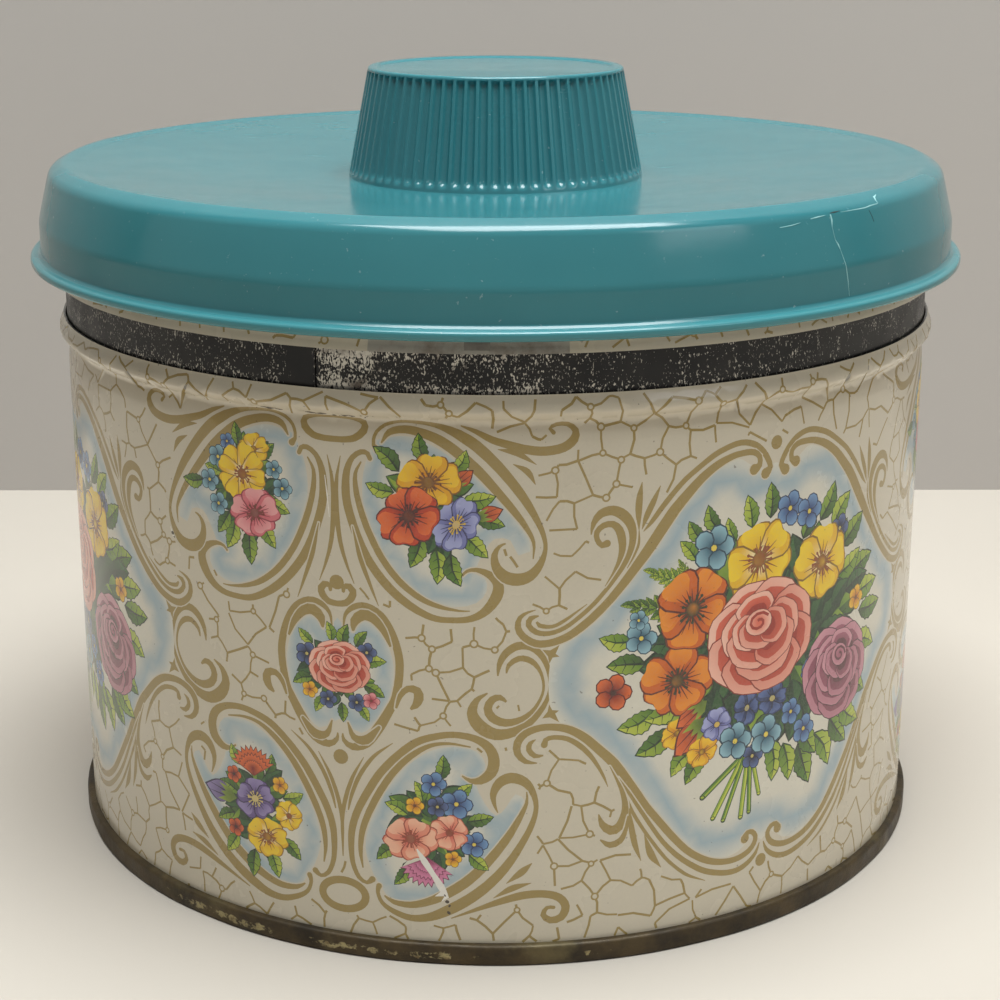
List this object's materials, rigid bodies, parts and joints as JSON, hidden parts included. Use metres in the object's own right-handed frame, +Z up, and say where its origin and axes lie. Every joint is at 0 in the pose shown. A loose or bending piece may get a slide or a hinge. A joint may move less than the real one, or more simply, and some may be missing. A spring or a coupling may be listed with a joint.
{
  "type": "round tin box with a knobbed lid",
  "caption": "Round tinplate canister with a black inner collar and a lift-off tin cap that wears a turquoise plastic cover with a fluted knob.",
  "frame": {"origin": "centre of the tin's bottom, on the surface it stands on", "axes": "+Z up along the tin's axis; -Y is the side that the picture shows"},
  "size_m": [0.1372, 0.1372, 0.112],
  "materials": {
    "printed_tinplate": "glossy cream print over tinplate",
    "solder": "dull bare solder line",
    "rusted_tinplate": "dulled tinplate, spotted with rust",
    "seam_compound": "dried rubber compound",
    "black_lacquer": "black lacquer, scuffed to the metal",
    "bare_tinplate": "plain tinplate",
    "turquoise_plastic": "glossy moulded polystyrene"
  },
  "bodies": {
    "tin": {"body_wall": "printed_tinplate", "body_side_seam": "solder", "bottom_end": "rusted_tinplate", "bottom_seam_compound": "seam_compound", "collar": "black_lacquer"},
    "lid": {"cap_wall": "printed_tinplate", "cap_side_seam": "solder", "cap_end": "bare_tinplate", "knob_cover": "turquoise_plastic"}
  },
  "joints": [
    {"name": "lid_lift", "type": "slide", "parent": "tin", "child": "lid", "axis": [0, 0, 1], "range_m": [0, 0.05]}
  ]
}
